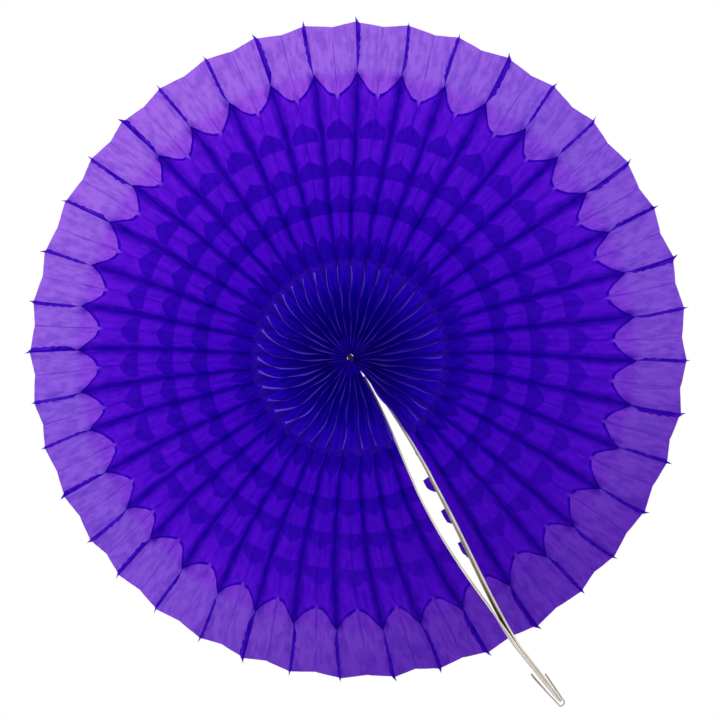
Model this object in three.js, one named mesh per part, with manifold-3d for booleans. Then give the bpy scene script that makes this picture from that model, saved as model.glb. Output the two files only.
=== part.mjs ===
// Round honeycomb tissue fan: 40 glued pairs of die-cut tissue leaves on two chipboard end boards, opened through a
// full turn about the thread at their inner ends, with a wire paper clip over the two board ends.
// The fan lies in the XZ plane and faces -Y. The origin is the hub, half way between the rear and front edges of the
// boards. All lengths in millimetres.
import * as THREE from "three";
import Module from "manifold-3d";

const wasm = await Module();
wasm.setup();
const { Manifold } = wasm;

// ---------------------------------------------------------------------------------------------- driving sizes
const PAIRS = 40; // glued pairs of leaves, so 39 whole petals and a half one at each board
const PITCH_DEPTH = 21; // from one glue line to the next, across the leaf
const HUB_R = 7; // inner ends of the leaves
const SPIKE_R = 250; // tip of each spike, the fan's outer radius
const RIM_SEAM_R = 246.5; // rim beside a spike
const RIM_MID_R = 244; // rim half way between two spikes
const SCALLOP_SEAM_R = 210; // cut edge of the front layer at a spike's line
const SCALLOP_HALF_R = 199; // and half way down to the crease
const SCALLOP_MID_R = 193; // and at the crease of the petal
const FIN_R = 70; // rounded outer end of the centre's fins
const FIN_OUT_R = 58; // where their front edge ends
const FIN_ROOT_R = 63; // and where they leave the front crease
const PAPER = 0.3; // thickness of a modelled leaf
const GAP = 0.3; // between pieces that touch
const SEAM_HALF = 0.9; // half width of a glued strip

const BOARD_T = 1.3; // chipboard
const BOARD_HALF = PITCH_DEPTH; // half the board's width
const BOARD_IN_R = 18; // inner end of a board
const BOARD_OUT_R = 301; // outer end of a board
const CORNER_R = 288; // where the corners of the outer end begin
const CORNER_HALF = 15; // half width left at the end
const STRAIGHT_R = 255; // the boards lie flat on each other from here out

const GAP_AT_DEG = -59.7; // direction of the gap between the boards, in the XZ plane
const GAP_HALF_DEG = 4.6; // half the gap's angle up to where the boards start to close
const CLOSE_FROM_R = 73; // and where they start
const CLOSE_TO_R = 250; // and where they meet
const BOARD_REST = BOARD_T + GAP; // half the distance between the boards' tissue faces where they meet
const SWAY = 2.2; // how far both boards bow to one side
const SWAY_FROM_R = 105; // between this radius and the one where they close
const END_SLOPE = 0.135; // both ends bend to the other side
const END_FROM_R = 245;

const WIRE_R = 0.5; // paper clip wire
const THREAD_R = 0.6; // hub thread
const COIL_R = 4.6;
const COIL_TURNS = 4;

// ---------------------------------------------------------------------------------------------- fan frame
const RAD = Math.PI / 180;
const clamp01 = (x) => Math.min(1, Math.max(0, x));
const smooth = (x) => x * x * (3 - 2 * x);

// Every long edge runs straight between these radii, on the boards and on the leaves.
const ROWS = [HUB_R, CLOSE_FROM_R, 121, 152, 185, SCALLOP_SEAM_R, CLOSE_TO_R, STRAIGHT_R, BOARD_OUT_R];
function between(r, f) {
  const i = Math.max(0, Math.min(ROWS.findIndex((row) => row >= r), ROWS.length - 1) - 1);
  const share = (r - ROWS[i]) / (ROWS[i + 1] - ROWS[i]);
  return f(ROWS[i]) * (1 - share) + f(ROWS[i + 1]) * share;
}
// Half the gap's width at a radius: a wedge that bulges and closes again.
function bulge(r) {
  const share = smooth(clamp01((r - CLOSE_FROM_R) / (CLOSE_TO_R - CLOSE_FROM_R)));
  return r >= CLOSE_TO_R ? BOARD_REST : GAP_HALF_DEG * RAD * (1 - share) * r + BOARD_REST * share * (r / CLOSE_TO_R);
}
// How far the gap's own middle line lies to one side of a straight one.
function sway(r) {
  const along = clamp01((r - SWAY_FROM_R) / (CLOSE_TO_R - SWAY_FROM_R));
  return SWAY * Math.sin(Math.PI * along) - END_SLOPE * Math.max(0, r - END_FROM_R);
}
const gapHalf = (r) => between(r, bulge) / r;
const gapMid = (r) => between(r, sway) / r;
// Angle round the fan, clockwise from the front, at share 0 (left board) to 1 (right board).
function fanAngle(r, share) {
  const left = gapMid(r) + gapHalf(r);
  return left + share * (2 * Math.PI - 2 * gapHalf(r));
}
// A point at radius r, moved sideways (clockwise) by side, at depth y.
function place(r, share, side, y) {
  const a = GAP_AT_DEG * RAD - fanAngle(r, share);
  return [r * Math.cos(a) + side * Math.sin(a), y, r * Math.sin(a) - side * Math.cos(a)];
}
// Half the width of a cell at a radius, and the depth of its panels.
const cellHalf = (r) => (r * (Math.PI - gapHalf(r))) / PAIRS;
const panelDepth = (r) => Math.sqrt(PITCH_DEPTH ** 2 - cellHalf(r) ** 2);
const rearDepth = (r) => (r > SCALLOP_SEAM_R ? panelDepth(r) : between(r, panelDepth));

// ---------------------------------------------------------------------------------------------- solids
// A closed solid, turned right side out.
function closed(points, faces) {
  const solidOf = (triangles) =>
    new Manifold(
      new wasm.Mesh({
        numProp: 3,
        vertProperties: new Float32Array(points.flat()),
        triVerts: new Uint32Array(triangles.flat()),
      }),
    );
  const made = solidOf(faces);
  return made.volume() < 0 ? solidOf(faces.map(([a, b, c]) => [a, c, b])) : made;
}
// Two leaves glued at a seam. Each is a list of polygons of surface points [r, share, side, y] with half the paper's
// thickness to both sides. A glued polygon has no face towards the other leaf, so the two make one closed solid.
function gluedPair(leaves) {
  const ids = new Map();
  const points = [];
  const id = (r, share, side, y) => {
    const key = [r, share, side, y].map((x) => x.toFixed(4)).join();
    if (!ids.has(key)) ids.set(key, points.push(place(r, share, side, y)) - 1);
    return ids.get(key);
  };
  const faces = [];
  for (const { turn, polygons } of leaves) {
    const outer = ([r, share, side, y]) => id(r, share, side + (turn * PAPER) / 2, y);
    const inner = ([r, share, side, y]) => id(r, share, side - (turn * PAPER) / 2, y);
    const face = (...corners) => faces.push(turn > 0 ? corners : corners.reverse());
    const edges = new Map();
    for (const { ring, glued } of polygons) {
      for (let i = 1; i + 1 < ring.length; i++) {
        face(outer(ring[0]), outer(ring[i]), outer(ring[i + 1]));
        if (!glued) face(inner(ring[0]), inner(ring[i + 1]), inner(ring[i]));
      }
      ring.forEach((p, i) => edges.set(`${p}>${ring[(i + 1) % ring.length]}`, [p, ring[(i + 1) % ring.length]]));
    }
    for (const [p, q] of edges.values())
      if (!edges.has(`${q}>${p}`)) {
        face(outer(q), outer(p), inner(p));
        face(outer(q), inner(p), inner(q));
      }
  }
  return closed(points, faces);
}
// A bar with the same number of points in each section, closed at both ends.
function loft(sections) {
  const n = sections[0].length;
  const faces = [];
  for (let i = 0; i + 1 < sections.length; i++)
    for (let j = 0; j < n; j++) {
      const k = (j + 1) % n;
      faces.push([i * n + j, i * n + k, (i + 1) * n + k], [i * n + j, (i + 1) * n + k, (i + 1) * n + j]);
    }
  const last = (sections.length - 1) * n;
  for (let j = 1; j + 1 < n; j++) faces.push([0, j + 1, j], [last, last + j, last + j + 1]);
  return closed(sections.flat(), faces);
}
// A round wire along a line of points.
function wire(line, radius, sides) {
  const at = line.map((p) => new THREE.Vector3(...p));
  let up = new THREE.Vector3(0, 1, 0);
  const sections = at.map((p, i) => {
    const along = at[Math.min(i + 1, at.length - 1)].clone().sub(at[Math.max(i - 1, 0)]).normalize();
    if (Math.abs(along.dot(up)) > 0.95) up = new THREE.Vector3(1, 0, 0);
    up = up.clone().addScaledVector(along, -along.dot(up)).normalize();
    const across = along.clone().cross(up);
    return Array.from({ length: sides }, (_, j) => {
      const t = (2 * Math.PI * j) / sides;
      return p.clone().addScaledVector(up, radius * Math.cos(t)).addScaledVector(across, radius * Math.sin(t)).toArray();
    });
  });
  return loft(sections);
}

// ---------------------------------------------------------------------------------------------- tissue leaves
// The rings of tabs on the leaf's rear edge: inner radius, outer radius, height as a share of the next glue pitch.
// Behind the crease the leaf swings back towards its own seam, so each tab leans that way.
const TAB_RINGS = [
  { from: 14, to: 58, high: 0.9 },
  { from: 70.5, to: 92, high: 0.8 },
  { from: 107, to: 121, high: 0.95 },
  { from: 134, to: 148, high: 0.8 },
  { from: 162, to: 177, high: 0.66 },
];
const TAB_SLOPE = 0.35; // how much shorter a tab's free edge is than its base

// One leaf of a pair: turn is -1 for the leaf on the left of the seam and +1 for the one on its right.
function leaf(pair, turn) {
  const seam = (pair - 0.5) / PAIRS;
  const crease = seam + (turn * 0.5) / PAIRS;
  const seamSide = (turn * PAPER) / 2;
  const creaseSide = -turn * (PAPER / 2 + GAP / 2);
  const halfShare = (seam + crease) / 2;
  const halfSide = (seamSide + creaseSide) / 2;
  const inner = ROWS.filter((r) => r <= SCALLOP_SEAM_R);
  const rows = [...inner, RIM_SEAM_R];
  const creaseRows = [...inner, RIM_MID_R];
  const halfRows = [...inner.slice(0, -2), 182, SCALLOP_HALF_R];
  const frontRows = [...inner.slice(0, -2), 178, SCALLOP_MID_R];
  const rearAt = (r) => [r, crease, creaseSide, rearDepth(r)];
  const high = rows.map((r) => [r, seam, seamSide, SEAM_HALF]);
  const low = rows.map((r) => [r, seam, seamSide, -SEAM_HALF]);
  const half = halfRows.map((r) => [r, halfShare, halfSide, -panelDepth(r) / 2]);
  const frontAt = (r) => [r, crease, creaseSide, -panelDepth(r)];
  const front = frontRows.map(frontAt);
  const finHalf = [HUB_R, FIN_R].map((r) => [r, halfShare, halfSide, -1.5 * panelDepth(r)]);
  const fin = [HUB_R, FIN_OUT_R].map((r) => [r, seam, seamSide, -2 * panelDepth(r)]);
  const finEdge = [HUB_R, FIN_OUT_R].map((r) => [r, seam, seamSide, -2 * panelDepth(r) - 2 * SEAM_HALF]);
  const tip = [SPIKE_R, seam, seamSide, 0];

  const polygons = [];
  const strip = (a, b, glued = false) => {
    for (let i = 0; i + 1 < Math.min(a.length, b.length); i++)
      polygons.push({ ring: [a[i], a[i + 1], b[i + 1], b[i]], glued });
  };
  // The rear panel runs from the seam to the crease, where its edge also carries the tabs.
  const tabRadii = TAB_RINGS.flatMap(({ from, to }) => [from, to]);
  for (let i = 0; i + 1 < rows.length; i++) {
    const between = tabRadii.filter((r) => r > creaseRows[i] && r < creaseRows[i + 1]);
    const edge = [creaseRows[i], ...between, creaseRows[i + 1]].map(rearAt);
    polygons.push({ ring: [high[i], ...edge, high[i + 1]] });
  }
  strip(high, low, true);
  strip(low, half);
  polygons.push({ ring: [half[0], half[1], front[1], frontAt(FIN_ROOT_R), front[0]] });
  strip(half.slice(1), front.slice(1));
  strip([front[0], frontAt(FIN_ROOT_R)], finHalf);
  strip(finHalf, fin);
  strip(fin, finEdge, true);
  polygons.push({ ring: [high.at(-1), tip, low.at(-1)], glued: true });
  for (const { from, to, high: rise } of TAB_RINGS) {
    const top = to - TAB_SLOPE * (to - from);
    const leanShare = crease + (seam - crease) * rise;
    const leanSide = creaseSide + (seamSide - creaseSide) * rise;
    const lift = (r) => [r, leanShare, leanSide, rearDepth(r) + rise * panelDepth(r)];
    const base = creaseRows.filter((r) => r > from && r < to);
    polygons.push({ ring: [from, ...base, to].map(rearAt).reverse().concat([lift(from), lift(top)]) });
  }
  return { turn, polygons };
}

// ---------------------------------------------------------------------------------------------- boards
function board(share) {
  const out = share === 0 ? -1 : 1; // away from the tissue
  const near = (out * GAP) / 2;
  const far = near + out * BOARD_T;
  const rows = [BOARD_IN_R, ...ROWS.slice(1, -1), CORNER_R, BOARD_OUT_R];
  return loft(
    rows.map((r) => {
      const half = r > CORNER_R ? CORNER_HALF : BOARD_HALF;
      return [
        place(r, share, near, half),
        place(r, share, far, half),
        place(r, share, far, -half),
        place(r, share, near, -half),
      ];
    }),
  );
}

// ---------------------------------------------------------------------------------------------- clip and thread
// The clip lies over the two board ends: its long loop on the left board, its short loop on the right one.
function paperClip() {
  const middle = (r) => {
    const a = GAP_AT_DEG * RAD - gapMid(r);
    return new THREE.Vector3(r * Math.cos(a), 0, r * Math.sin(a));
  };
  const end = middle(BOARD_OUT_R);
  const out = end.clone().sub(middle(STRAIGHT_R)).normalize();
  const side = new THREE.Vector3(out.z, 0, -out.x); // clockwise, towards the left board
  const lift = BOARD_REST - GAP / 2 + GAP + WIRE_R;
  const line = [];
  const add = (s, w, n) =>
    line.push(end.clone().addScaledVector(out, s).addScaledVector(side, n).add(new THREE.Vector3(0, w, 0)).toArray());
  const bend = (s0, w0, radius, sign, n) => {
    for (let i = 0; i <= 8; i++) {
      const t = (Math.PI * i) / 8;
      add(s0 + sign * radius * Math.sin(t), w0 + radius * Math.cos(t) * (sign < 0 ? 1 : -1), n(i / 8));
    }
  };
  add(-9, 4, lift);
  bend(-24, 0, 4, -1, () => lift);
  bend(0.6, -0.6, 3.4, 1, (x) => lift * Math.cos(Math.PI * smooth(clamp01((x - 0.12) / 0.76))));
  bend(-19, 0.2, 2.6, -1, () => -lift);
  add(-7, -2.4, -lift);
  return wire(line, WIRE_R, 6);
}
// The binding thread winds down the bore that the leaves' inner ends leave.
function hubThread() {
  const steps = COIL_TURNS * 12;
  return wire(
    Array.from({ length: steps + 1 }, (_, i) => {
      const t = (2 * Math.PI * i) / 12;
      return [COIL_R * Math.cos(t), PITCH_DEPTH - (3 * PITCH_DEPTH * i) / steps, COIL_R * Math.sin(t)];
    }),
    THREAD_R,
    5,
  );
}

// ---------------------------------------------------------------------------------------------- assembly
const tissue = new THREE.MeshStandardMaterial({ color: "#6a2bd0", roughness: 0.85, metalness: 0 });
const chipboard = new THREE.MeshStandardMaterial({ color: "#b3a48f", roughness: 0.9, metalness: 0 });
const steel = new THREE.MeshStandardMaterial({ color: "#8d9096", roughness: 0.3, metalness: 1 });
const cotton = new THREE.MeshStandardMaterial({ color: "#3a1a7a", roughness: 0.9, metalness: 0 });

const group = new THREE.Group();
function add(name, solid, material) {
  const { numProp, vertProperties, triVerts } = solid.getMesh();
  const position = new Float32Array((vertProperties.length / numProp) * 3);
  for (let i = 0; i * numProp < vertProperties.length; i++)
    position.set(vertProperties.subarray(i * numProp, i * numProp + 3), i * 3);
  const geometry = new THREE.BufferGeometry()
    .setAttribute("position", new THREE.BufferAttribute(position, 3))
    .setIndex(new THREE.BufferAttribute(triVerts, 1));
  geometry.computeVertexNormals();
  const mesh = new THREE.Mesh(geometry, material);
  mesh.name = name;
  group.add(mesh);
}

add("board_left", board(0), chipboard);
add("board_right", board(1), chipboard);
for (let pair = 1; pair <= PAIRS; pair++)
  add(`tissue_pair_${String(pair).padStart(2, "0")}`, gluedPair([leaf(pair, -1), leaf(pair, 1)]), tissue);
add("hub_thread", hubThread(), cotton);
add("paper_clip", paperClip(), steel);

export default group;
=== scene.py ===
# %% [markdown]
# # A round tissue fan
# Eighty thin tissue leaves lie between two chipboard boards and are glued to each other in lines,
# so that they open into cells like a honeycomb. Opened through a full turn, the boards meet and a
# paper clip holds them together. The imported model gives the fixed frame: which bodies there are and
# how they fold. The looks are made on top of it.

import math

import bmesh
import bpy
import numpy as np
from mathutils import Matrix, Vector


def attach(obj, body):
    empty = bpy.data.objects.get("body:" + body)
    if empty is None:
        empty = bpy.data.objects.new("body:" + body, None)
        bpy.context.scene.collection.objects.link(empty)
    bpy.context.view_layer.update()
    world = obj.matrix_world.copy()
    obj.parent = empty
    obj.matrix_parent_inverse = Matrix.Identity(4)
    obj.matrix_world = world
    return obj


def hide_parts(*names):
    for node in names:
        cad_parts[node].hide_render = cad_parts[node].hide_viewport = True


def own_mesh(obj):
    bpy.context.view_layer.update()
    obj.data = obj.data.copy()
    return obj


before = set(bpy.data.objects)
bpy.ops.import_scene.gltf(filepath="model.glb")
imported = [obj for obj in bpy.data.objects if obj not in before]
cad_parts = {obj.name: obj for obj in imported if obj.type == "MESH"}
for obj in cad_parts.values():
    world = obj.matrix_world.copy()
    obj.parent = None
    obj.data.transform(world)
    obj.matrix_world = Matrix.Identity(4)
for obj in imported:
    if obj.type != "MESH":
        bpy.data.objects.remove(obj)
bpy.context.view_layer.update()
MM = 0.001

# %% [markdown]
# The camera comes first. It looks straight at the fan's face through a long lens, so that the
# boards, which stand on edge, show as the thin lines that they are.

# %% Camera
AIM = Vector((0.0073, 0.0, -0.0022))
FROM_RIGHT = math.radians(-0.6)
FROM_ABOVE = math.radians(0.6)
DISTANCE = 2.2
FRAME_WIDTH = 0.527  # the width of the view at the fan's own plane

camera = bpy.data.objects.new("camera", bpy.data.cameras.new("camera"))
bpy.context.scene.collection.objects.link(camera)
towards = Vector((
    math.sin(FROM_RIGHT) * math.cos(FROM_ABOVE),
    -math.cos(FROM_RIGHT) * math.cos(FROM_ABOVE),
    math.sin(FROM_ABOVE),
))
camera.location = AIM + DISTANCE * towards
camera.rotation_euler = towards.to_track_quat("Z", "Y").to_euler()
camera.data.sensor_width = 36
camera.data.lens = 36 * DISTANCE / FRAME_WIDTH
camera.data.clip_end = 50
bpy.context.scene.camera = camera
print("lens", round(camera.data.lens, 1), "mm")

# %% [markdown]
# The studio is a pale floor under an even white sky, and one large soft lamp in front, high on the
# left, which gives the tissue some light from the front; the bright edges and tips of the fins are a
# highlight painted into the tissue's colour. Tissue shows colour mostly by the light that comes
# through it, so the sky matters more than the lamp. Behind the fan stands a paper backdrop that gets
# dimmer to the lower right. It is seen only from in front and only through the tissue: Light Path
# tells the sky which rays have already passed a leaf.

# %% Studio
BACKDROP_FALL = (-4.8, 0.0, 8.1)  # it gets lighter this way, faster with length
BACKDROP_FROM, BACKDROP_FULL = 0.90, 0.97  # how straight ahead a ray must go to meet it
FLOOR_Z, FLOOR_SIZE = -0.62, 3.0
LAMP_AT, LAMP_SIZE, LAMP_POWER = (-0.7, -1.1, 1.0), 0.9, 9

scene = bpy.context.scene
scene.view_settings.view_transform = "Standard"
scene.view_settings.look = "None"
world = bpy.data.worlds.new("white sky")
scene.world = world
world.use_nodes = True
sky_nodes, sky_links = world.node_tree.nodes, world.node_tree.links
sky = sky_nodes["Background"]
sky.inputs["Color"].default_value = (1.0, 1.0, 1.0, 1)
way = sky_nodes.new("ShaderNodeTexCoord")
falls = sky_nodes.new("ShaderNodeVectorMath")
falls.operation = "DOT_PRODUCT"
sky_links.new(way.outputs["Generated"], falls.inputs[0])
falls.inputs[1].default_value = BACKDROP_FALL
spread = sky_nodes.new("ShaderNodeMapRange")
spread.inputs["From Min"].default_value = -1.0
sky_links.new(falls.outputs["Value"], spread.inputs["Value"])
backdrop = sky_nodes.new("ShaderNodeValToRGB")
stops = backdrop.color_ramp.elements
stops[0].color, stops[1].color = (0.13, 0.11, 0.36, 1), (0.88, 1.0, 0.88, 1)
BACKDROP_STOPS = (
    (0.25, (0.42, 0.50, 0.64, 1)), (0.6, (0.52, 0.68, 0.74, 1)), (0.85, (0.75, 0.95, 0.84, 1)),
)
for position, colour in BACKDROP_STOPS:
    stops.new(position).color = colour
sky_links.new(spread.outputs["Result"], backdrop.inputs["Fac"])
ray = sky_nodes.new("ShaderNodeLightPath")
through = sky_nodes.new("ShaderNodeMath")
through.operation = "GREATER_THAN"
through.inputs[1].default_value = 0.5
sky_links.new(ray.outputs["Transparent Depth"], through.inputs[0])
looked = sky_nodes.new("ShaderNodeMath")
looked.operation = "MULTIPLY"
sky_links.new(through.outputs[0], looked.inputs[0])
sky_links.new(ray.outputs["Is Camera Ray"], looked.inputs[1])
facing = sky_nodes.new("ShaderNodeSeparateXYZ")
sky_links.new(way.outputs["Generated"], facing.inputs[0])
behind = sky_nodes.new("ShaderNodeMapRange")
behind.inputs["From Min"].default_value = BACKDROP_FROM
behind.inputs["From Max"].default_value = BACKDROP_FULL
sky_links.new(facing.outputs["Y"], behind.inputs["Value"])
stands = sky_nodes.new("ShaderNodeMath")
stands.operation = "MULTIPLY"
sky_links.new(looked.outputs[0], stands.inputs[0])
sky_links.new(behind.outputs["Result"], stands.inputs[1])
seen = sky_nodes.new("ShaderNodeMix")
seen.data_type = "RGBA"
seen.inputs["A"].default_value = (1, 1, 1, 1)
sky_links.new(stands.outputs[0], seen.inputs["Factor"])
sky_links.new(backdrop.outputs["Color"], seen.inputs["B"])
sky_links.new(seen.outputs["Result"], sky.inputs["Color"])

bpy.ops.mesh.primitive_plane_add(size=FLOOR_SIZE, location=(0, 0, FLOOR_Z))
floor = bpy.context.object
floor.name = "studio_floor"
pale = bpy.data.materials.new("pale floor")
pale.use_nodes = True
shade = pale.node_tree.nodes["Principled BSDF"]
shade.inputs["Base Color"].default_value = (0.9, 0.9, 0.9, 1)
shade.inputs["Roughness"].default_value = 0.9
shade.inputs["Emission Color"].default_value = (1, 1, 1, 1)
shade.inputs["Emission Strength"].default_value = 0.14
floor.data.materials.append(pale)

lamp = bpy.data.objects.new("soft_lamp", bpy.data.lights.new("soft_lamp", "AREA"))
scene.collection.objects.link(lamp)
lamp.location = LAMP_AT
lamp.rotation_euler = (Vector(lamp.location) - AIM).to_track_quat("Z", "Y").to_euler()
lamp.data.size = LAMP_SIZE
lamp.data.energy = LAMP_POWER
print("sky and lamp ready")

# %% [markdown]
# ## The fan's own coordinates
# A place on the fan is easiest to give by its distance from the hub, its share of the way round
# from the left board to the right one, and its depth. The two boards spring apart between the hub
# and the clip, so the share of the way round starts from a gap that widens, bulges and closes
# again.

# %% Fan coordinates
PAIRS = 40
PITCH_DEPTH = 21.0  # from one glue line to the next, across a leaf, in millimetres as all that follows
HUB_R, SPIKE_R, RIM_SEAM_R, RIM_CREASE_R = 2.4, 250.0, 246.5, 244.0
SCALLOP_SEAM_R, SCALLOP_CREASE_R = 210.0, 193.0  # where the front layer ends
FIN_R = 66.0  # where the tall fins at the centre end
DENSE_R = 185.0  # the leaf has closer rows from here out, for the scallops
GAP_AT = math.radians(-59.7)
GAP_HALF = math.radians(4.6)
CLOSE_FROM, CLOSE_TO = 73.0, 250.0  # the gap narrows between these
SHUT_FROM, SHUT_OVER = 4, 14  # at the hub it opens over this short way
BOARD_T, GAP = 1.3, 0.3
BOARD_REST = BOARD_T + GAP
SWAY, SWAY_FROM, END_SLOPE, END_FROM = 2.2, 105.0, 0.135, 245.0
TWIST, TWIST_FROM, TWIST_OVER = 2.4, 20, 190  # how far the clip turns a board, and where that builds up
HUB_BEND, HUB_BEND_TO, HUB_BEND_SHARE = 3.2, 110, 0.16
UNEVEN_FROM, UNEVEN_OVER = 70, 140  # from the first distance on, over the second one, the rim turns uneven


def ease(x):
    """A soft start and a soft end between 0 and 1."""
    return x * x * (3 - 2 * x)


def bulge(r):
    """Half the gap between the two boards."""
    s = ease(np.clip((r - CLOSE_FROM) / (CLOSE_TO - CLOSE_FROM), 0, 1))
    shut = np.clip((r - SHUT_FROM) / SHUT_OVER, 0, 1)
    bowed = GAP_HALF * (1 - s) * r + BOARD_REST * s * r / CLOSE_TO
    return ease(shut) * np.where(r >= CLOSE_TO, BOARD_REST, bowed)


def sway(r):
    """Both boards together lean to one side, and the ends beyond the rim turn back."""
    x = np.clip((r - SWAY_FROM) / (CLOSE_TO - SWAY_FROM), 0, 1)
    return SWAY * np.sin(np.pi * x) - END_SLOPE * np.maximum(0, r - END_FROM)


def near_gap(r, share):
    """Close to the hub both boards and their nearest leaves bend the other way, by a few millimetres."""
    close = np.clip(1 - np.minimum(share, 1 - share) / HUB_BEND_SHARE, 0, 1)
    return -HUB_BEND * np.sin(np.pi * np.clip(r / HUB_BEND_TO, 0, 1) ** 0.75) * ease(close)


def fan_angle(r, share):
    """How far clockwise from the gap's middle line a place stands."""
    return (sway(r) + bulge(r) + near_gap(r, share)) / r + share * (2 * np.pi - 2 * bulge(r) / r)


def reach(a):
    """The tissue pulls more on one side than on the other, so the rim isn't a true circle about the hub."""
    return 0.976 + 0.026 * np.cos(a) + 0.019 * np.sin(a)


def place(r, share, side, y, uneven=1.0):
    """Points in metres: out from the hub by r, moved clockwise by side, at depth y."""
    r, share, side, y = np.broadcast_arrays(*[np.asarray(v, float) for v in (r, share, side, y)])
    a = GAP_AT - fan_angle(r, share)
    r = r * (1 + uneven * (reach(a) - 1) * np.clip((r - UNEVEN_FROM) / UNEVEN_OVER, 0, 1))
    return np.stack([r * np.cos(a) + side * np.sin(a), y, r * np.sin(a) - side * np.cos(a)], -1) * MM


def twist(r, share):
    """How far a board's rear edge stands clockwise of its front edge: the clip turns both a little."""
    free = 2 * np.maximum(0, bulge(r) - BOARD_T - GAP / 2)
    right = TWIST * np.clip((r - TWIST_FROM) / TWIST_OVER, 0, 1)
    return right if share > 0.5 else np.maximum(0, right - 0.7 * free)


print("gap at the widest", round(float(2 * bulge(np.array(120.0))), 1), "mm")

# %% [markdown]
# ## Where the glue lines really are
# The cells don't open evenly: hands pull the fan open, so each glue line stands a little off its
# even place. Every line gets one small angle of its own, and both leaves that meet there use it, so
# that the cells stay closed.

# %% Uneven cells
SEAM_OFF, CREASE_OFF = 0.011, 0.005  # the most that a line stands off its even place, in radians
rng = np.random.default_rng(40)
seam_turn = rng.uniform(-1, 1, PAIRS + 2) * SEAM_OFF / (2 * np.pi)
crease_turn = rng.uniform(-1, 1, PAIRS + 1) * CREASE_OFF / (2 * np.pi)
crease_turn = 0.5 * (seam_turn[:-1] + seam_turn[1:]) + crease_turn
crease_turn[0] = crease_turn[PAIRS] = 0.0
phase = rng.uniform(0, 2 * np.pi, (PAIRS + 2, 8))


def seam_share(pair):
    return (pair - 0.5) / PAIRS + seam_turn[pair]


def crease_share(line):
    return line / PAIRS + crease_turn[line]


print("first seam stands off by", round(float(seam_turn[1] * 360), 2), "degrees")

# %% [markdown]
# ## One leaf
# A leaf is a strip of tissue that runs out from the hub. Across the strip its glue lines are one
# pitch apart: 0 is the rear crease of a petal, 1 the seam where the pair is glued, 2 the front
# crease and 3 the front edge of the centre's fins. Between two glue lines the tissue swings from
# one side of the cell to the other. At a seam it lies flat on its neighbour for a short way, so its
# section is a chain of S curves.

# %% Section of a leaf
S_SHARE = 0.5  # how much of the swing is S shaped, the rest being straight
STRIP = 0.045  # half the width of a glued strip at a seam, as a share of the pitch
FOLD_STRIP = 0.012  # and at a crease, where the leaves part sooner
LEAST_DEPTH_2 = 20.0  # a cell never flattens past this, in square millimetres
OVERLAP = 0.03  # glued leaves cross by this much, so that no slit shows
SLANT = 0.55  # how far a glued strip lies aslant
FIRST, LAST = -1, 3  # the outermost lines across a leaf: a tab's edge and the fin's front edge
TAB_HANG, TAB_HANG_OVER = 8, 30  # how far the last leaf's tabs hang into the gap, and where that builds up
SAG, SAG_OVER = 2.8, 78  # how far a fin hangs, and over which length
LIFT_FROM, LIFT_OVER, TIP_LIFT = 46, 20, 8.5  # how a fin's tip curls
FIN_WAVE = 0.5
# how far the pairs next to the gap lean over the boards
COVER = {1: -0.8, 2: -0.4, 3: -0.2, 38: 0.2, 39: 0.35, 40: 0.62}


def swing(across):
    """How far towards the crease the tissue stands: 0 at a seam, 1 at a crease."""
    x = np.abs(((across + 1.0) % 2.0) - 1.0)  # 0 at even lines, 1 at odd ones
    x = np.clip((x - FOLD_STRIP) / (1 - STRIP - FOLD_STRIP), 0, 1)
    return 1.0 - ((1 - S_SHARE) * x + S_SHARE * ease(x))


def half_cell(line, r):
    """Half the width of the cell at a crease, the same for both leaves there, so that they stay joined."""
    left = seam_share(line) if line > 0 else -seam_share(1)
    right = seam_share(line + 1) if line < PAIRS else 2 - seam_share(PAIRS)
    return 0.5 * r * np.abs(fan_angle(r, right) - fan_angle(r, left))


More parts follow.
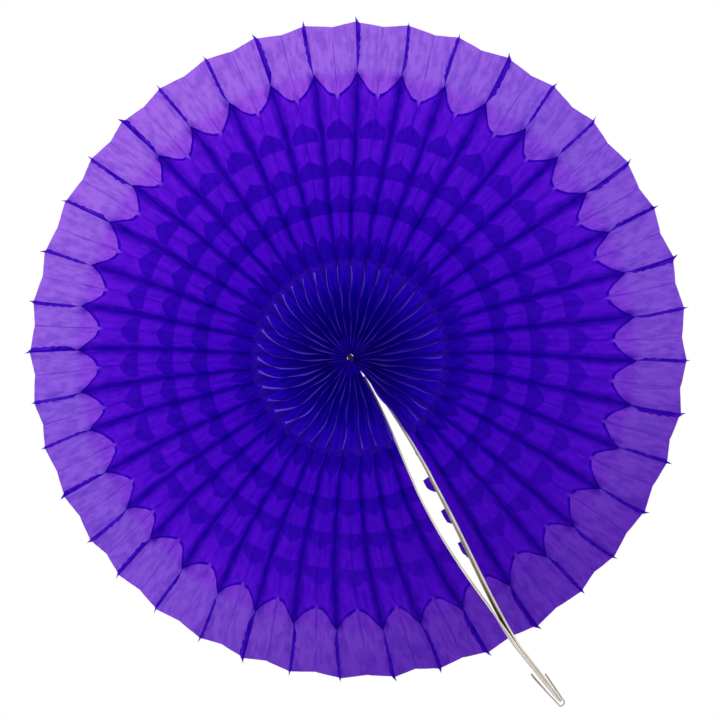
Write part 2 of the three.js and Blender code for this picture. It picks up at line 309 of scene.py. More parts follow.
def leaf_points(pair, turn, r, across, lean=0.0):
    """Places on one leaf of a pair. turn is -1 for the leaf left of the seam and 1 for the right one."""
    r, across, lean = np.broadcast_arrays(*[np.asarray(v, float) for v in (r, across, lean)])
    line = pair - 1 if turn < 0 else pair
    seam, crease = seam_share(pair), crease_share(line)
    half = r * np.abs(fan_angle(r, crease) - fan_angle(r, seam))
    depth = np.sqrt(np.maximum(PITCH_DEPTH ** 2 - half_cell(line, r) ** 2, LEAST_DEPTH_2))
    on_leaf = np.clip(across, FIRST, LAST)
    to_crease = swing(on_leaf)
    free = np.sin(np.pi * on_leaf) ** 2  # 0 at every glue line, 1 half way between
    grows = np.clip(r / 45, 0, 1)
    p = phase[pair]
    wave = 0.30 * np.sin(r / 9.0 + p[0] + turn) + 0.22 * np.sin(r / 4.3 + p[1] + 2 * across)
    wave = wave + 0.30 * np.sin(across * 17.0 + p[5] + turn + r / 45.0)
    side = turn * OVERLAP + wave * free * grows + lean
    # A glued strip lies a little aslant, so that no light comes straight through between its two leaves.
    side = side + SLANT * np.sin(2 * np.pi * on_leaf) * np.clip(r / 30, 0, 1)
    # The outer leaf at each board follows the board's twist, and the last one's tabs hang into the gap.
    if crease in (0.0, 1.0):
        side = side + twist(r, crease) * np.clip(1 - 0.5 * across, 0, 1) * to_crease
    if crease == 1.0:
        hangs = (half + TAB_HANG) * np.clip((r - FIN_R) / TAB_HANG_OVER, 0, 1)
        side = side + np.maximum(0, -across) * hangs
    # The tall centre fins hang down a little, and on the left their tips curl up.
    up = -np.cos(GAP_AT - fan_angle(r, seam))
    fin = np.clip(across - 2, 0, 1.2)
    side = side - SAG * up * fin ** 1.5 * np.sin(np.pi * np.clip(r / SAG_OVER, 0, 1))
    side = side + TIP_LIFT * np.maximum(0, up) * fin ** 2 * np.clip((r - LIFT_FROM) / LIFT_OVER, 0, 1) ** 2
    # Next to the gap the fins have no neighbour to hold them, so they fall over the board's front edge.
    beside = COVER.get(pair, 0.0)
    side = side + beside * fin * (0.95 * half + 0.8)
    side = side + FIN_WAVE * fin ** 2 * np.sin(r / 5.0 + 0.8 * p[2]) * grows
    y = depth * (1 - across) + 0.25 * np.sin(r / 13 + p[3]) * free
    return place(r, seam + (crease - seam) * to_crease, side, y)


print("half way across a cell the swing is", round(float(swing(np.array(0.5))), 2))

# %% [markdown]
# ## The cut
# The leaves are die cut as a stack, so all have one outline. The rim is a row of shallow points,
# the front layer ends in scallops, and the rear edge carries tabs with a square inner side and a
# rounded outer side, in rings. Each tab leans over towards the next seam and shows from the front
# as half a dark dot.

# %% Outline of the cut
# for each ring of tabs: where it starts and ends, and how far the tabs reach back, as a share of the pitch
TAB_RINGS = [
    (14.0, 58.0, 0.9), (70.5, 92.0, 0.82), (107.0, 121.0, 0.95), (134.0, 148.0, 0.8), (162.0, 177.0, 0.66),
]
BREAKS = sorted({HUB_R, FIN_R, DENSE_R} | {r for ring in TAB_RINGS for r in ring[:2]})
STEP = 2.0
inner_rows = np.concatenate([
    np.linspace(a, b, max(2, round((b - a) / STEP) + 1))[:-1] for a, b in zip(BREAKS[:-1], BREAKS[1:])
])


def rim(to_crease):
    """The outer edge of the rear layer."""
    return RIM_SEAM_R + (RIM_CREASE_R - RIM_SEAM_R) * to_crease ** 0.8


def scallop(to_crease):
    """The outer edge of the front layer."""
    return SCALLOP_SEAM_R - (SCALLOP_SEAM_R - SCALLOP_CREASE_R) * np.sin(0.5 * np.pi * to_crease) ** 0.9


def tab_height(r, ring):
    """Square at the inner end, rounded over the outer part."""
    start, end, high = ring
    x = np.clip((end - r) / (0.6 * (end - start)), 0, 1)
    return high * (1 - (1 - x) ** 1.7) ** 0.8


print(len(inner_rows), "rows up to the scallops")

# %% [markdown]
# The leaf is laid out as patches that share their border rows: the rear panel to the rim, the front
# panel to the scallops, the fin, the tabs, and the narrow strips that stand beyond the glue lines.
# Each patch is a plain grid of four-sided faces, and doubles are merged at the end, so that each
# leaf is one sheet.

# %% Patches of a leaf
N_SCALLOP, N_RIM, N_TAB = 13, 19, 8  # rows up to the scallops, from there to the rim, and across a tab
OPEN_FROM, OPEN_OVER, OPEN_BY = DENSE_R + 1, 7, 1.6  # at the scallops the front creases stand open
# widths of the narrow strips past the glue lines, as shares of the pitch
FIN_STRIP = np.array([0.0, 0.05, 0.10])
CREASE_STRIP = np.array([0.0, 0.008, 0.016])
RIM_STRIP = np.array([0.0, 0.07, 0.14])
CROWN = 6.0  # how far the fin's outer edge bows out


def opening(r):
    return np.clip((r - OPEN_FROM) / OPEN_OVER, 0, 1) ** 2


def leaf_patches(pair, turn):
    """Lists (r, across, lean) grids for one leaf, with 1 after them where the patch is a cut edge, which
    the material darkens with painted shade.
    """
    patches = []
    p = phase[pair]
    panel = np.concatenate([[0.0], np.linspace(STRIP, 1 - STRIP, 10), [1.0]])
    t_scallop, t_rim = np.linspace(0, 1, N_SCALLOP), np.linspace(0, 1, N_RIM)
    # rear panel, from the crease (0) to the seam (1)
    to_crease = swing(panel)[None, :]
    first = np.repeat(inner_rows[:, None], len(panel), 1)
    second = DENSE_R + (SCALLOP_SEAM_R - DENSE_R) * t_scallop[:, None] + 0 * to_crease
    third = SCALLOP_SEAM_R + (rim(to_crease) - SCALLOP_SEAM_R) * t_rim[1:, None]
    rear = np.concatenate([first, second, third])
    patches.append((rear, np.broadcast_to(panel, rear.shape), 0.0))
    # front panel, from the seam (1) to the front crease (2)
    to_crease = swing(1 + panel)[None, :]
    second = DENSE_R + (scallop(to_crease) - DENSE_R) * t_scallop[:, None]
    front = np.concatenate([first, second])
    open_by = opening(front) * np.clip(panel - 0.6, 0, 1)[None, :] * 2.5
    patches.append((front, np.broadcast_to(1 + panel, front.shape), -turn * OPEN_BY * open_by))
    # the cut edge of the scallop turns under by a millimetre
    lip = np.stack([front[-1], front[-1] - 0.9, front[-1] - 2.2])
    lip_open = np.broadcast_to(-turn * OPEN_BY * open_by[-1], lip.shape)
    lip_across = 1 + panel[None, :] - np.array([0, 0.035, 0.02])[:, None] * (0.3 + panel)
    patches.append((lip, lip_across, lip_open, 1.0))
    # fin, from the front crease (2) to its front edge (3)
    fin = inner_rows[inner_rows <= FIN_R]
    crown = CROWN * np.sin(np.pi * panel ** 1.4)
    grid = HUB_R + (fin[:, None] - HUB_R) * (1 + (crown / (FIN_R - HUB_R))[None, :])
    patches.append((grid, np.broadcast_to(2 + panel, grid.shape), 0.0))
    # strip in front of the fin's glue line
    grid = np.repeat(fin[:, None], 3, 1)
    lean = FIN_STRIP * 6.0 * np.sin(grid / 7.0 + p[4]) * np.clip((grid - HUB_R) / 20, 0, 1)
    patches.append((grid, 3 + np.broadcast_to(FIN_STRIP, grid.shape), lean))
    # strip in front of the front crease, outside the fins
    outer_rows = DENSE_R + (SCALLOP_CREASE_R - DENSE_R) * t_scallop
    rows = np.concatenate([inner_rows[inner_rows >= FIN_R], outer_rows])
    grid = np.repeat(rows[:, None], 3, 1)
    lean = CREASE_STRIP * 16 * np.sin(grid / 16.0 + p[5])
    lean = lean - turn * OPEN_BY * opening(grid) * (1 + 4 * CREASE_STRIP)
    patches.append((grid, 2 + np.broadcast_to(CREASE_STRIP, grid.shape), lean))
    # ragged strip in front of the seam, outside the scallops, with the spike at its end
    rows = np.concatenate([SCALLOP_SEAM_R + (RIM_SEAM_R - SCALLOP_SEAM_R) * t_rim, [248.0, 249.2, SPIKE_R]])
    grid = np.repeat(rows[:, None], 3, 1)
    ragged = 1 + 0.16 * np.sin(grid / 1.9 + p[6]) * np.sin(grid / 0.7 + p[7])
    narrow = np.clip((SPIKE_R + 0.4 - grid) / 5.5, 0, 1) * np.clip((grid - 208.5) / 8, 0.25, 1)
    across = 1 + RIM_STRIP * ragged * narrow
    lean = 15.0 * (across - 1) * np.sin(pair * 2.4 + grid / 40.0)
    patches.append((grid, across, lean, 1.0))
    # tabs and the strip behind the rear crease
    rows = np.concatenate([inner_rows, DENSE_R + (SCALLOP_SEAM_R - DENSE_R) * t_scallop, third[:, 0]])
    for ring in TAB_RINGS:
        ring_rows = rows[(rows >= ring[0]) & (rows <= ring[1])]
        grid = np.repeat(ring_rows[:, None], N_TAB, 1)
        patches.append((grid, -tab_height(grid, ring) * np.linspace(0, 1, N_TAB)[None, :], 0.0))
    starts = [HUB_R] + [ring[1] for ring in TAB_RINGS]
    ends = [ring[0] for ring in TAB_RINGS] + [RIM_CREASE_R]
    for a, b in zip(starts, ends):
        span = rows[(rows >= a) & (rows <= b + 1e-6)]
        grid = np.repeat(span[:, None], 3, 1)
        lean = CREASE_STRIP * 14 * np.sin(grid / 15.0 + p[4] + 1.0)
        patches.append((grid, -np.broadcast_to(CREASE_STRIP, grid.shape), lean))
    return patches


print(sum(p[0].size for p in leaf_patches(5, 1)), "points on a leaf before merging")

# %% [markdown]
# The two leaves of a pair go into one piece, which rides on that pair's body. The radius and the
# place across the leaf are kept on the mesh, so that the material can follow the glue lines. The
# area of the patches is added up, because that is what the leaf measures when it lies flat.

# %% Mesh of a pair
MERGE, SHORTEST = 0.00002, 0.00001  # in metres


def pair_mesh(pair):
    """The mesh of two glued leaves, and their flat area in square metres."""
    verts, faces, along, over, which, edge, flat = [], [], [], [], [], [], 0.0
    for turn in (-1, 1):
        for r, across, lean, *cut in leaf_patches(pair, turn):
            base = sum(len(v) for v in verts)
            n, m = r.shape
            across = np.broadcast_to(across, r.shape)
            verts.append(leaf_points(pair, turn, r, across, lean).reshape(-1, 3))
            along.append(r.ravel())
            over.append(across.ravel())
            which.append(np.full(r.size, (2 * pair + (turn > 0)) * 0.37))
            edge.append(np.full(r.size, cut[0] if cut else 0.0))
            i = np.arange(n - 1)[:, None] * m + np.arange(m - 1)[None, :] + base
            quad = np.stack([i, i + 1, i + m + 1, i + m], -1).reshape(-1, 4)
            faces.append(quad if turn > 0 else quad[:, ::-1])
            step_out = np.abs(np.diff(r, axis=0)[:, :-1])
            step_across = np.abs(np.diff(across, axis=1)[:-1, :]) * PITCH_DEPTH
            flat += float(np.sum(step_out * step_across)) * MM * MM
    verts, faces = np.concatenate(verts), np.concatenate(faces)
    mesh = bpy.data.meshes.new(f"leaves_{pair:02d}")
    mesh.from_pydata(verts.tolist(), [], faces.tolist())
    kept = (("along", along, MM), ("over", over, 1), ("leaf", which, 1), ("cut_edge", edge, 1))
    for name, parts, unit in kept:
        attribute = mesh.attributes.new(name, "FLOAT", "POINT")
        attribute.data.foreach_set("value", (np.concatenate(parts) * unit).astype(np.float32))
    tidy = bmesh.new()
    tidy.from_mesh(mesh)
    bmesh.ops.remove_doubles(tidy, verts=tidy.verts, dist=MERGE)
    bmesh.ops.dissolve_degenerate(tidy, edges=tidy.edges, dist=SHORTEST)
    tidy.to_mesh(mesh)
    tidy.free()
    mesh.polygons.foreach_set("use_smooth", np.ones(len(mesh.polygons), bool))
    mesh.update()
    return mesh, flat


trial, trial_area = pair_mesh(5)
print(len(trial.polygons), "faces in a pair,", round(trial_area * 1e4), "cm2 of tissue")
bpy.data.meshes.remove(trial)

# %% [markdown]
# ## Tissue
# Tissue paper is a loose web of fibres, dyed through. Some light goes straight through it, some is
# scattered on its way through, and a little comes back from the front, each time with less red and
# green. So every layer more makes the violet deeper. Clouds of thicker fibre and fine creases change
# how much passes. Shade is painted in as well, along the glue lines, on the tabs and cut edges and in
# streaks along the wrinkles, and the tint is painted lighter towards the rim, with a highlight on the fins.

# %% Tissue material
def new_material(name):
    material = bpy.data.materials.new(name)
    material.use_nodes = True
    material.node_tree.nodes.clear()
    return material, material.node_tree.nodes, material.node_tree.links


class Graph:
    """A short way to write a material: each call adds one node and joins it up."""

    def __init__(self, name):
        self.material, self.nodes, self.links = new_material(name)

    def add(self, kind, settings=None, out=0, **inputs):
        node = self.nodes.new("ShaderNode" + kind)
        for key, value in (settings or {}).items():
            setattr(node, key, value)
        for key, value in inputs.items():
            by_number = key[0] == "i" and key[1:].isdigit()
            socket = node.inputs[int(key[1:]) if by_number else key.replace("_", " ")]
            if isinstance(value, bpy.types.NodeSocket):
                self.links.new(value, socket)
            else:
                socket.default_value = value
        return node.outputs[out]

    def ramp(self, value, low, high, to_low=0.0, to_high=1.0):
        """A smooth step between two values."""
        return self.add(
            "MapRange", {"interpolation_type": "SMOOTHSTEP"},
            i0=value, i1=low, i2=high, i3=to_low, i4=to_high,
        )

    def sum(self, a, b, times=1.0):
        """a times a number, plus b."""
        return self.add("Math", {"operation": "MULTIPLY_ADD"}, i0=a, i1=times, i2=b)

    def product(self, a, b):
        return self.add("Math", {"operation": "MULTIPLY"}, i0=a, i1=b)

    def colour(self, share, a, b):
        """A mix of two colours; the first may also come from another node."""
        if not isinstance(a, bpy.types.NodeSocket):
            a = (*a, 1)
        return self.add("Mix", {"data_type": "RGBA"}, 2, i0=share, i6=a, i7=(*b, 1))

    def noise(self, vector, scale, detail, roughness=0.5):
        return self.add("TexNoise", i0=vector, Scale=scale, Detail=detail, Roughness=roughness)

    def finish(self, shader):
        self.links.new(shader, self.nodes.new("ShaderNodeOutputMaterial").inputs["Surface"])


def tissue_material():
    g = Graph("violet tissue")
    at = g.add("TexCoord", out=3)
    over = g.add("Attribute", {"attribute_name": "over"}, 2)
    along = g.add("Attribute", {"attribute_name": "along"}, 2)
    leaf = g.add("Attribute", {"attribute_name": "leaf"}, 2)
    cut_edge = g.add("Attribute", {"attribute_name": "cut_edge"}, 2)
    clouds = g.noise(at, 130, 6, 0.65)
    # long wrinkles run out from the hub, along the leaf
    along_leaf = g.add("CombineXYZ", i0=over, i1=g.product(along, 14.0), i2=leaf)
    wrinkles = g.noise(along_leaf, 6.0, 2, 0.5)
    # the glue is at whole numbers across the leaf. A dark band is painted along each glue line, strong at
    # the seams and faint at the creases: partly the glued double tissue, partly painted shade where the
    # leaf stands steep beside the line
    wandering = g.sum(g.noise(at, 45, 2), over, 0.08)
    from_crease = g.add("Math", {"operation": "PINGPONG"}, i0=wandering, i1=1.0)
    glue_and_steep_shade = g.sum(g.ramp(from_crease, 0.52, 0.90, 0.0, 0.70), g.ramp(from_crease, 0.04, 0.26, 0.12, 0.0))
    petal = g.ramp(along, 0.204, 0.216)
    glue_and_steep_shade = g.product(glue_and_steep_shade, g.ramp(petal, 0.0, 1.0, 1.0, 0.2))
    fin_edge = g.ramp(over, 2.93, 3.02)
    glue_and_steep_shade = g.product(glue_and_steep_shade, g.ramp(fin_edge, 0.0, 1.0, 1.0, 0.0))
    # the tabs behind the rear crease and the cut edges are darkened with painted shade, beyond what their
    # layers of tissue give
    tab_and_edge_shade = g.sum(g.ramp(over, -0.03, -0.10), g.product(cut_edge, 0.5), 0.8)
    # the weight holds the real clouds of fibre and the painted shade of the glue lines, tabs and cut edges,
    # and every colour below darkens with it
    weight_and_shade = g.sum(g.ramp(clouds, 0.3, 0.7, -0.08, 0.2), g.sum(glue_and_steep_shade, tab_and_edge_shade))
    # streaks along the wrinkles: partly crinkled tissue, partly painted shade and light of the folds
    crinkle_and_fold_shade = g.ramp(wrinkles, 0.35, 0.65, -0.11, 0.23)
    weight_and_shade = g.add("Math", {"operation": "ADD", "use_clamp": True}, i0=weight_and_shade, i1=crinkle_and_fold_shade)
    # light straight through; towards the rim and on the petals the tint is lighter: painted light for the
    # flatter outer tissue, and painted shade nearer the hub, where the cells stand steeper among the fins
    thin_with_painted_light = g.colour(g.ramp(along, 0.06, 0.2), (0.37, 0.050, 0.97), (0.44, 0.090, 0.97))
    thin_with_painted_light = g.colour(petal, thin_with_painted_light, (0.47, 0.17, 0.95))
    clear_tint = g.colour(weight_and_shade, thin_with_painted_light, (0.09, 0.006, 0.62))
    clear = g.add("BsdfTransparent", Color=clear_tint)
    # light scattered on its way through
    creases = g.sum(wrinkles, g.noise(at, 520, 4), 2.0)
    raised = g.add("Bump", Height=creases, Strength=0.4, Distance=0.0004)
    glow = g.add(
        "BsdfTranslucent", Normal=raised, Color=g.colour(weight_and_shade, (0.34, 0.07, 0.92), (0.10, 0.004, 0.60)))
    # light from the front. The fins get a lighter front tone of their own, and a highlight is painted on
    # their front edges, most of all on their tips: both are painted light
    tone = g.colour(weight_and_shade, (0.17, 0.016, 0.54), (0.08, 0.004, 0.31))
    tone = g.colour(g.ramp(over, 2.0, 2.6), tone, (0.16, 0.03, 0.66))
    painted_fin_highlight = g.product(fin_edge, g.ramp(along, 0.038, 0.062, 0.45, 1.0))
    # the painted highlight is weaker on the fins on the right, for the lamp that stands on the left
    painted_fin_highlight = g.product(painted_fin_highlight, g.ramp(g.add("SeparateXYZ", i0=at), -0.03, 0.03, 1.0, 0.45))
    tone = g.colour(painted_fin_highlight, tone, (0.40, 0.25, 1.0))
    face = g.add("BsdfPrincipled", Base_Color=tone, Roughness=0.9, Specular_IOR_Level=0.0, Normal=raised)
    body = g.add("MixShader", i0=0.4, i1=glow, i2=face)
    # where the highlight is painted, less of the light goes straight through
    sheet = g.add("MixShader", i0=g.ramp(painted_fin_highlight, 0.0, 1.0, 0.24, 0.6), i1=clear, i2=body)
    g.finish(sheet)
    return g.material


tissue = tissue_material()
print("tissue nodes", len(tissue.node_tree.nodes))

# %% [markdown]
# Every pair is made by the same two functions, with its own uneven angles, and turns with its body.
# For each pair the plane that it would flatten to as the fan folds and its cells shut is worked out,
# chosen so that the folded stack passes between the two boards, which keep their bow; the leaves
# themselves are not made to flatten.

# %% Forty pairs of leaves
FOLD = math.radians(348)  # how far the right board turns
FOLDED_SLOPE, FOLDED_SPREAD, FOLDED_SHIFT = 0.105, 0.016, 2.6  # where the flat stack lies


def folded_plane(pair):
    """Across direction and anchor of the plane that a pair flattens to."""
    share = (pair - 0.5) / PAIRS
    a = GAP_AT - share * FOLD - math.atan(FOLDED_SLOPE + FOLDED_SPREAD * (share - 0.5))
    across = Vector((math.sin(a), 0, -math.cos(a)))
    return tuple(across), tuple(-FOLDED_SHIFT * MM * across)


leaves = []
for pair in range(1, PAIRS + 1):
    mesh, flat_area = pair_mesh(pair)
    piece = bpy.data.objects.new(f"leaves_{pair:02d}", mesh)
    scene.collection.objects.link(piece)
    mesh.materials.append(tissue)
    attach(piece, f"pair_{pair:02d}")
    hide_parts(f"tissue_pair_{pair:02d}")
    across, near = folded_plane(pair)
    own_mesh(piece)
    leaves.append(piece)
print(len(leaves), "pairs,", sum(len(p.data.polygons) for p in leaves), "faces")

# %% [markdown]
# ## Chipboard boards
# Each board is a strip of grey chipboard, a good millimetre thick and as wide as two glue pitches.
# It starts as a cube primitive, gets cuts along its length, loses its outer corners, has its edges
# rounded, and is then laid along the bow that the spring of the tissue gives it.

# %% Board shape
BOARD_IN, BOARD_OUT, CORNER = 18.0, 295.0, 12.0
BOARD_CUTS, EDGE_R, EDGE_ANGLE = 44, 0.22, math.radians(40)
PRESSED = 0.36  # how much thinner the clip presses the ends
SMOOTH_ANGLE = math.radians(35)


def board_piece(name, share):
    """share is 0 for the left board and 1 for the right one."""
    bpy.ops.object.select_all(action="DESELECT")
    bpy.ops.mesh.primitive_cube_add(size=1, location=(0, 0, 0))
    piece = bpy.context.object
    piece.name = name
    length = BOARD_OUT - BOARD_IN
    piece.scale = (length * MM, 2 * PITCH_DEPTH * MM, BOARD_T * MM)
    piece.location = ((BOARD_IN + length / 2) * MM, 0, 0)
    bpy.ops.object.transform_apply(location=True, rotation=False, scale=True)
    bpy.ops.object.mode_set(mode="EDIT")
    bpy.ops.mesh.select_mode(type="EDGE")
    bpy.ops.mesh.select_all(action="DESELECT")
    body = bmesh.from_edit_mesh(piece.data)
    for edge in body.edges:  # the two upright edges of the outer end
        a, b = edge.verts
        edge.select = min(a.co.x, b.co.x) > (BOARD_OUT - 1) * MM and abs(a.co.y - b.co.y) < 1e-6
    bmesh.update_edit_mesh(piece.data)
    bpy.ops.mesh.bevel(offset=CORNER * MM, segments=3, affect="EDGES")
    for x in np.linspace(BOARD_IN + 6, BOARD_OUT - CORNER - 1, BOARD_CUTS):
        bpy.ops.mesh.select_all(action="SELECT")
        bpy.ops.mesh.bisect(plane_co=(float(x) * MM, 0, 0), plane_no=(1, 0, 0))
    bpy.ops.object.mode_set(mode="OBJECT")
    rounded = piece.modifiers.new("rounded edges", "BEVEL")
    rounded.width = EDGE_R * MM
    rounded.segments = 2
    rounded.limit_method = "ANGLE"
    rounded.angle_limit = EDGE_ANGLE
    bpy.ops.object.modifier_apply(modifier=rounded.name)
    out = -1 if share == 0 else 1
    for v in piece.data.vertices:
        r, y, through = v.co.x / MM, v.co.y / MM, v.co.z / MM
        pressed = 1 - PRESSED * np.clip((r - CLOSE_TO) / (BOARD_OUT - CLOSE_TO), 0, 1)
        side = out * (GAP / 2 + BOARD_T) + (through - out * BOARD_T / 2) * pressed
        side = side + float(twist(r, share)) * (y + PITCH_DEPTH) / (2 * PITCH_DEPTH)
        v.co = place(r, float(share), side, y, 0)
    bpy.ops.object.mode_set(mode="EDIT")
    bpy.ops.mesh.select_all(action="SELECT")
    bpy.ops.mesh.normals_make_consistent(inside=False)
    bpy.ops.object.mode_set(mode="OBJECT")
    bpy.ops.object.shade_smooth_by_angle(angle=SMOOTH_ANGLE)
    return piece


left_board = board_piece("chipboard_left", 0)
right_board = board_piece("chipboard_right", 1)
print("boards", [len(b.data.polygons) for b in (left_board, right_board)])

# %% [markdown]
# Chipboard is pressed grey pulp. Its faces show specks and short fibres, which the material gives to
# every face alike; the cut edges, lighter and furry, in thin layers along the board, aren't set apart.

# %% Chipboard material
def chipboard_material():
    material, nodes, links = new_material("grey chipboard")
    out = nodes.new("ShaderNodeOutputMaterial")
    surface = nodes.new("ShaderNodeBsdfPrincipled")
    links.new(surface.outputs[0], out.inputs["Surface"])
    place_on = nodes.new("ShaderNodeTexCoord")
    fibre = nodes.new("ShaderNodeTexNoise")
    fibre.inputs["Scale"].default_value = 900
    fibre.inputs["Detail"].default_value = 5
    cloud = nodes.new("ShaderNodeTexNoise")
    cloud.inputs["Scale"].default_value = 60
    cloud.inputs["Detail"].default_value = 3
    for texture in (fibre, cloud):
        links.new(place_on.outputs["Object"], texture.inputs["Vector"])
    colours = nodes.new("ShaderNodeValToRGB")
    colours.color_ramp.elements[0].position = 0.3
    colours.color_ramp.elements[0].color = (0.36, 0.31, 0.25, 1)
    colours.color_ramp.elements[1].position = 0.72
    colours.color_ramp.elements[1].color = (0.74, 0.69, 0.60, 1)
    blend = nodes.new("ShaderNodeMath")
    blend.operation = "MULTIPLY_ADD"
    blend.inputs[1].default_value = 0.45
    links.new(fibre.outputs["Fac"], blend.inputs[0])
    scaled = nodes.new("ShaderNodeMath")
    scaled.operation = "MULTIPLY"
    scaled.inputs[1].default_value = 0.55
    links.new(cloud.outputs["Fac"], scaled.inputs[0])
    links.new(scaled.outputs[0], blend.inputs[2])
    links.new(blend.outputs[0], colours.inputs["Fac"])
    links.new(colours.outputs["Color"], surface.inputs["Base Color"])
    surface.inputs["Roughness"].default_value = 0.9
    bump = nodes.new("ShaderNodeBump")
    bump.inputs["Strength"].default_value = 0.5
    bump.inputs["Distance"].default_value = 0.0002
    links.new(fibre.outputs["Fac"], bump.inputs["Height"])
    links.new(bump.outputs["Normal"], surface.inputs["Normal"])
    return material


chipboard = chipboard_material()
for piece, body, node in (
    (left_board, "left_board", "board_left"), (right_board, "right_board", "board_right"),
):
    piece.data.materials.append(chipboard)
    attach(piece, body)
    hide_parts(node)
print("boards ride on their bodies")

# %% [markdown]
# ## The clip and the thread
# Both are round wires that follow a line of points, so each is drawn as a curve with a round
# section and then made a mesh. The clip's long loop lies on the left board and its short loop on
# the right one, and the wire crosses over beyond the boards' ends. The thread winds down the hub,
# round which all the leaves meet, and ends in a small knot.

# %% Wires
def round_wire(name, points, radius, sides=12):
    curve = bpy.data.curves.new(name, "CURVE")
    curve.dimensions = "3D"
    curve.bevel_depth = radius * MM
    curve.bevel_resolution = sides // 4
    curve.use_fill_caps = True
    spline = curve.splines.new("NURBS")
    spline.points.add(len(points) - 1)
    for at, p in zip(spline.points, points):
        at.co = (*p, 1)
    spline.order_u = 3
    spline.use_endpoint_u = True
    spline.resolution_u = 3
    piece = bpy.data.objects.new(name, curve)
    scene.collection.objects.link(piece)
    bpy.ops.object.select_all(action="DESELECT")
    piece.select_set(True)
    bpy.context.view_layer.objects.active = piece
    bpy.ops.object.convert(target="MESH")
    piece = bpy.context.object
    bpy.ops.object.shade_smooth()
    return piece


def between_boards(r):
    return (Vector(place(r, 0.0, TWIST / 2, 0.0, 0)) + Vector(place(r, 1.0, TWIST / 2, 0.0, 0))) / 2


STRAIGHT_FROM = 255.0  # the boards lie flat on each other from here out
end, near = between_boards(BOARD_OUT), between_boards(STRAIGHT_FROM)
out_way = (end - near).normalized()
side_way = Vector((out_way.z, 0, -out_way.x))
WIRE_R = 0.5
LIFT = BOARD_REST - GAP / 2 + GAP + WIRE_R  # from between the boards to the wire's middle
BEND_STEPS = 14
line = []


def clip_point(s, w, n):
    """Adds a point s out past the boards' ends, w towards the rear, and n off the middle line."""
    turned = TWIST * w / (2 * PITCH_DEPTH)
    line.append(end + (out_way * s + side_way * (n - turned) + Vector((0, w, 0))) * MM)


def clip_bend(s0, w0, radius, sign, n):
    """A half circle about s0, w0. n gives how far off the middle line it is, by the share done."""
    for i in range(BEND_STEPS + 1):
        t = math.pi * i / BEND_STEPS
        sideways = radius * math.cos(t) * (1 if sign < 0 else -1)
        clip_point(s0 + sign * radius * math.sin(t), w0 + sideways, n(i / BEND_STEPS))


def crossing(x):
    """From one side of the boards to the other, in the middle part of the bend."""
    return LIFT * math.cos(math.pi * ease(min(1.0, max(0.0, (x - 0.12) / 0.76))))


clip_point(-9, 4, LIFT + 1.5)
clip_point(-14, 4, LIFT + 1.8)
clip_bend(-24, 0, 4, -1, lambda x: LIFT + 2.2)
clip_bend(0.6, -0.6, 3.4, 1, crossing)
clip_bend(-19, 0.2, 2.6, -1, lambda x: -LIFT - 1.4)
clip_point(-7, -2.4, -LIFT - 0.6)
clip = round_wire("clip_wire", line, WIRE_R, 16)

COIL_R, COIL_TURNS, TURN_STEPS, THREAD_R = 1.5, 9, 16, 0.5
KNOT_R, KNOT_AT, KNOT_STEPS = 1.7, -2 * PITCH_DEPTH - 0.6, 21
KNOT_FROM, KNOT_TAPER, KNOT_TO = 6, 62, 90  # in steps: where the knot starts, gets tighter and ends
steps = COIL_TURNS * TURN_STEPS
coil = [
    Vector((
        COIL_R * math.cos(2 * math.pi * i / TURN_STEPS),
        PITCH_DEPTH - 3 * PITCH_DEPTH * i / steps,
        COIL_R * math.sin(2 * math.pi * i / TURN_STEPS),
    )) * MM
    for i in range(steps + 1)
]
for i in range(KNOT_FROM, KNOT_TO):
    t = 2 * math.pi * i / KNOT_STEPS
    tighter = 1 - 0.35 * max(0, i - KNOT_TAPER) / (KNOT_TO - KNOT_TAPER)
    out = KNOT_R * (0.62 + 0.38 * math.cos(1.5 * t)) * tighter
    coil.append(Vector((out * math.cos(t), KNOT_AT - 0.5 * math.sin(1.5 * t), out * math.sin(t))) * MM)
thread = round_wire("binding_thread", coil, THREAD_R, 8)
print("clip", len(clip.data.polygons), "faces, thread", len(thread.data.polygons))

# %% [markdown]
# The clip is bright steel wire that has been drawn through a die, so fine lines run along it. The
# thread is twisted cotton in the tissue's own colour.

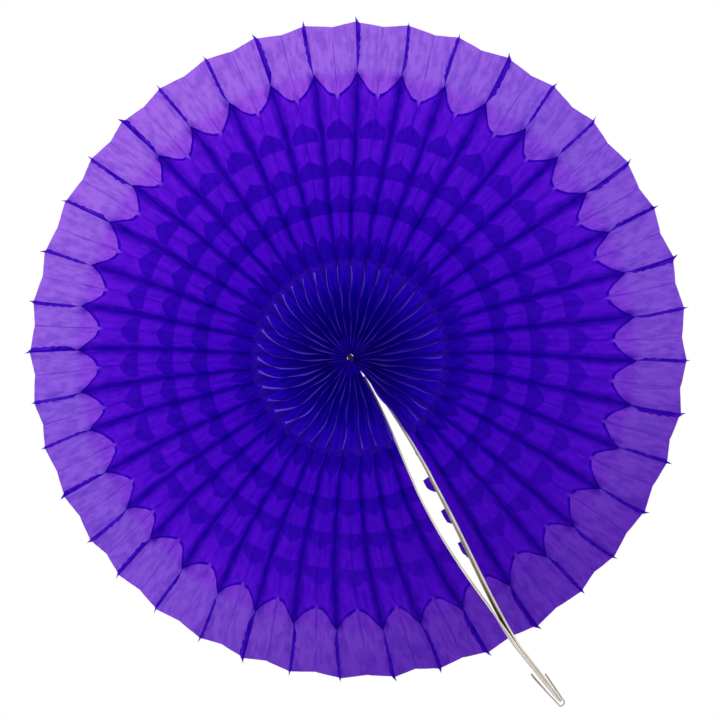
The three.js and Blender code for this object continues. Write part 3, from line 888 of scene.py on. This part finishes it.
# %% Steel and cotton
def steel_material():
    material, nodes, links = new_material("steel wire")
    out = nodes.new("ShaderNodeOutputMaterial")
    surface = nodes.new("ShaderNodeBsdfPrincipled")
    surface.inputs["Metallic"].default_value = 1.0
    links.new(surface.outputs[0], out.inputs["Surface"])
    place_on = nodes.new("ShaderNodeTexCoord")
    marks = nodes.new("ShaderNodeTexNoise")
    marks.inputs["Scale"].default_value = 1400
    marks.inputs["Detail"].default_value = 3
    links.new(place_on.outputs["Object"], marks.inputs["Vector"])
    tone = nodes.new("ShaderNodeValToRGB")
    tone.color_ramp.elements[0].color = (0.16, 0.16, 0.17, 1)
    tone.color_ramp.elements[1].color = (0.55, 0.55, 0.57, 1)
    links.new(marks.outputs["Fac"], tone.inputs["Fac"])
    links.new(tone.outputs["Color"], surface.inputs["Base Color"])
    rough = nodes.new("ShaderNodeMapRange")
    rough.inputs["To Min"].default_value = 0.22
    rough.inputs["To Max"].default_value = 0.5
    links.new(marks.outputs["Fac"], rough.inputs["Value"])
    links.new(rough.outputs["Result"], surface.inputs["Roughness"])
    return material


def cotton_material():
    material, nodes, links = new_material("violet cotton")
    out = nodes.new("ShaderNodeOutputMaterial")
    surface = nodes.new("ShaderNodeBsdfPrincipled")
    surface.inputs["Roughness"].default_value = 0.9
    surface.inputs["Specular IOR Level"].default_value = 0.1
    links.new(surface.outputs[0], out.inputs["Surface"])
    place_on = nodes.new("ShaderNodeTexCoord")
    twist = nodes.new("ShaderNodeTexWave")
    twist.inputs["Scale"].default_value = 700
    twist.inputs["Distortion"].default_value = 2
    links.new(place_on.outputs["Object"], twist.inputs["Vector"])
    tone = nodes.new("ShaderNodeValToRGB")
    tone.color_ramp.elements[0].color = (0.012, 0.004, 0.02, 1)
    tone.color_ramp.elements[1].color = (0.07, 0.015, 0.09, 1)
    links.new(twist.outputs["Fac"], tone.inputs["Fac"])
    links.new(tone.outputs["Color"], surface.inputs["Base Color"])
    bump = nodes.new("ShaderNodeBump")
    bump.inputs["Strength"].default_value = 0.6
    bump.inputs["Distance"].default_value = 0.0002
    links.new(twist.outputs["Fac"], bump.inputs["Height"])
    links.new(bump.outputs["Normal"], surface.inputs["Normal"])
    return material


clip.data.materials.append(steel_material())
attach(clip, "clip")
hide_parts("paper_clip")
thread.data.materials.append(cotton_material())
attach(thread, "left_board")
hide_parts("hub_thread")
print("clip and thread ride")
